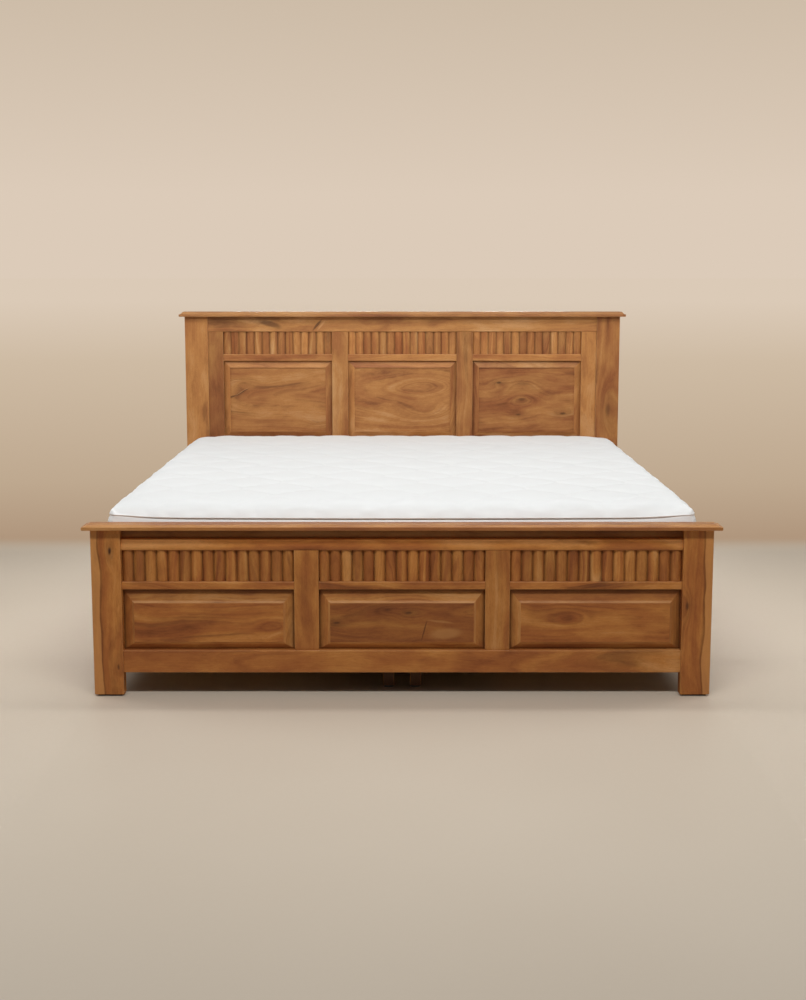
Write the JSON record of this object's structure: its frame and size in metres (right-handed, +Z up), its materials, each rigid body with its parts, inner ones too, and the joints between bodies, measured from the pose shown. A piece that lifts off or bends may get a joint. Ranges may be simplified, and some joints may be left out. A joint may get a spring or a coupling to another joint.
{
  "type": "bed with drawers",
  "caption": "Wooden double bed with a reeded and panelled headboard and footboard, sliding side drawers, a slatted base and a lift-out mattress.",
  "frame": {"origin": "on the floor under the middle of the bed", "axes": "+X to the right seen from the foot end, +Y from the foot to the head, +Z up"},
  "size_m": [1.924, 2.166, 1.114],
  "materials": {
    "teak_frame": "satin oil over open grain",
    "teak_panel": "satin oil over open grain",
    "teak_reed": "satin oil, mixed tones",
    "teak_cap": "satin oil over open grain",
    "teak_knob": "satin, turned",
    "teak_dark": "matt oil",
    "plain_wood": "unfinished, planed",
    "plywood": "unfinished, sanded",
    "steel": "zinc plated",
    "glide": "matt",
    "mattress_fabric": "knitted cover"
  },
  "bodies": {
    "frame": {"foot_post_left": "teak_frame", "foot_post_right": "teak_frame", "foot_cap": "teak_cap", "foot_frieze": "teak_dark", "foot_top_rail": "teak_frame", "foot_mid_rails": "teak_frame", "foot_bottom_rail": "teak_frame", "foot_muntins": "teak_frame", "foot_reeds_left": "teak_reed", "foot_reeds_centre": "teak_reed", "foot_reeds_right": "teak_reed", "foot_panel_left": "teak_panel", "foot_panel_centre": "teak_panel", "foot_panel_right": "teak_panel", "head_post_left": "teak_frame", "head_post_right": "teak_frame", "head_cap": "teak_cap", "head_top_rail": "teak_frame", "head_mid_rails": "teak_frame", "head_bottom_rail": "teak_frame", "head_base_rail": "teak_frame", "head_back_panel": "teak_dark", "head_stiles": "teak_frame", "head_muntins": "teak_frame", "head_reeds_left": "teak_reed", "head_reeds_centre": "teak_reed", "head_reeds_right": "teak_reed", "head_panel_left": "teak_panel", "head_panel_centre": "teak_panel", "head_panel_right": "teak_panel", "side_rail_left": "teak_frame", "side_rail_right": "teak_frame", "side_base_rails": "teak_frame", "side_stiles": "teak_frame", "slat_ledgers": "plain_wood", "centre_beams": "teak_dark", "centre_legs": "teak_dark", "drawer_dividers": "plain_wood", "drawer_runners": "plain_wood", "drawer_kickers": "plain_wood", "rail_brackets": "steel", "glides": "glide", "slats": "plain_wood"},
    "drawer_left_foot": {"left_foot_front": "teak_panel", "left_foot_box": "plain_wood", "left_foot_bottom": "plywood", "left_foot_knobs": "teak_knob"},
    "drawer_left_head": {"left_head_front": "teak_panel", "left_head_box": "plain_wood", "left_head_bottom": "plywood", "left_head_knobs": "teak_knob"},
    "drawer_right_foot": {"right_foot_front": "teak_panel", "right_foot_box": "plain_wood", "right_foot_bottom": "plywood", "right_foot_knobs": "teak_knob"},
    "drawer_right_head": {"right_head_front": "teak_panel", "right_head_box": "plain_wood", "right_head_bottom": "plywood", "right_head_knobs": "teak_knob"},
    "mattress": {"mattress": "mattress_fabric"}
  },
  "joints": [
    {"name": "drawer_left_foot_slide", "type": "slide", "parent": "frame", "child": "drawer_left_foot", "axis": [-1, 0, 0], "range_m": [0, 0.45]},
    {"name": "drawer_left_head_slide", "type": "slide", "parent": "frame", "child": "drawer_left_head", "axis": [-1, 0, 0], "range_m": [0, 0.45]},
    {"name": "drawer_right_foot_slide", "type": "slide", "parent": "frame", "child": "drawer_right_foot", "axis": [1, 0, 0], "range_m": [0, 0.45]},
    {"name": "drawer_right_head_slide", "type": "slide", "parent": "frame", "child": "drawer_right_head", "axis": [1, 0, 0], "range_m": [0, 0.45]},
    {"name": "mattress_lift", "type": "slide", "parent": "frame", "child": "mattress", "axis": [0, 0, 1], "range_m": [0, 0.4]}
  ]
}
